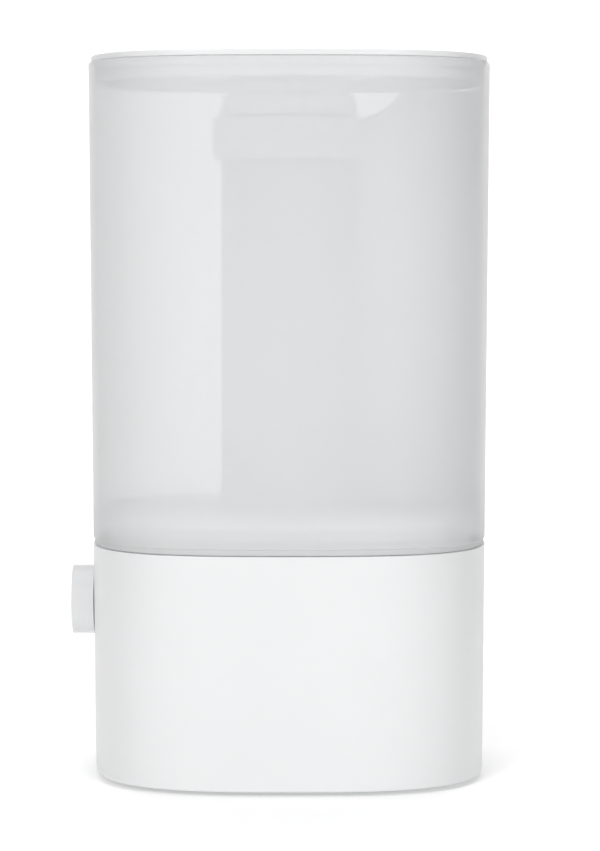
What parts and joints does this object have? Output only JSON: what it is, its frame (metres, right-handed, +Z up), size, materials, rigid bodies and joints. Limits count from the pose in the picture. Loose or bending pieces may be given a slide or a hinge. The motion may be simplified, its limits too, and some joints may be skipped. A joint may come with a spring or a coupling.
{
  "type": "cool mist humidifier",
  "caption": "Top-fill cool mist humidifier: white base with a side dial, frosted tank round a mist chimney, lift-off lid with a turning nozzle.",
  "frame": {"origin": "centre of the mist chimney's axis on the plane that the feet stand on", "axes": "+Z up along the chimney, -Y the front, -X the side with the control knob"},
  "size_m": [0.1764, 0.168, 0.3],
  "materials": {
    "housing_white": "fine satin moulded ABS",
    "inner_plastic": "moulded ABS, satin",
    "tank_frosted": "frosted translucent polypropylene",
    "chimney_frosted": "frosted translucent polypropylene, a little denser",
    "silicone": "translucent silicone, dull",
    "foot_rubber": "matt rubber",
    "screw_steel": "zinc plated",
    "piezo_brass": "lapped disc",
    "board_green": "solder-masked laminate",
    "heatsink_aluminium": "extruded, mill finish",
    "capacitor_blue": "shrink sleeve",
    "winding_copper": "enamelled copper wire",
    "black_plastic": "moulded nylon",
    "grey_metal": "die cast",
    "magnet_ferrite": "sintered ferrite",
    "reed_glass": "glass tube",
    "spring_steel": "drawn wire"
  },
  "bodies": {
    "base": {"base_shell": "housing_white", "bottom_plate": "inner_plastic", "rubber_feet": "foot_rubber", "base_screws": "screw_steel", "base_tray": "inner_plastic", "water_trough": "inner_plastic", "transducer_disc": "piezo_brass", "transducer_seal": "silicone", "transducer_clamp": "grey_metal", "clamp_screws": "screw_steel", "driver_board": "board_green", "heat_sink": "heatsink_aluminium", "driver_capacitors": "capacitor_blue", "driver_coil": "winding_copper", "board_screws": "screw_steel", "control_board": "board_green", "potentiometer_body": "grey_metal", "potentiometer_nut": "screw_steel", "power_jack": "black_plastic", "jack_nut": "screw_steel", "fan_housing": "black_plastic", "fan_stator": "winding_copper", "fan_screws": "screw_steel", "air_duct": "inner_plastic", "reed_switch": "reed_glass", "float_retainer": "inner_plastic"},
    "knob": {"control_knob": "housing_white", "potentiometer_shaft": "grey_metal"},
    "float": {"float_ring": "inner_plastic", "float_magnet": "magnet_ferrite"},
    "fan": {"fan_rotor": "black_plastic"},
    "tank": {"tank_shell": "tank_frosted", "tank_floor": "tank_frosted", "chimney_tube": "chimney_frosted", "chimney_socket": "chimney_frosted", "divider_web": "chimney_frosted", "valve_housing": "inner_plastic", "valve_gasket": "silicone", "valve_spring": "spring_steel"},
    "valve": {"valve_plunger": "inner_plastic", "valve_seal": "silicone"},
    "lid": {"lid_shell": "housing_white", "lid_seal": "silicone", "nozzle_cup": "inner_plastic", "mist_duct": "inner_plastic", "duct_seal": "silicone"},
    "nozzle": {"mist_nozzle": "housing_white"}
  },
  "joints": [
    {"name": "tank_lift", "type": "slide", "parent": "base", "child": "tank", "axis": [0, 0, 1], "range_m": [0, 0.25]},
    {"name": "lid_lift", "type": "slide", "parent": "tank", "child": "lid", "axis": [0, 0, 1], "range_m": [0, 0.12]},
    {"name": "nozzle_turn", "type": "hinge", "parent": "lid", "child": "nozzle", "pos_m": [0, 0, 0.297], "axis": [0, 0, 1], "continuous": true},
    {"name": "knob_turn", "type": "hinge", "parent": "base", "child": "knob", "pos_m": [-0.086, 0, 0.0713], "axis": [1, 0, 0], "range_deg": [0, 280]},
    {"name": "float_rise", "type": "slide", "parent": "base", "child": "float", "axis": [0, 0, 1], "range_m": [0, 0.012]},
    {"name": "fan_spin", "type": "hinge", "parent": "base", "child": "fan", "pos_m": [-0.026, 0.051, 0.018], "axis": [0, 0, 1], "continuous": true},
    {"name": "valve_travel", "type": "slide", "parent": "tank", "child": "valve", "axis": [0, 0, 1], "range_m": [-0.002, 0], "deforming": ["valve_spring"]}
  ],
  "couplings": [
    {"joint": "valve_travel", "follows": "tank_lift", "ratio": -0.008}
  ]
}
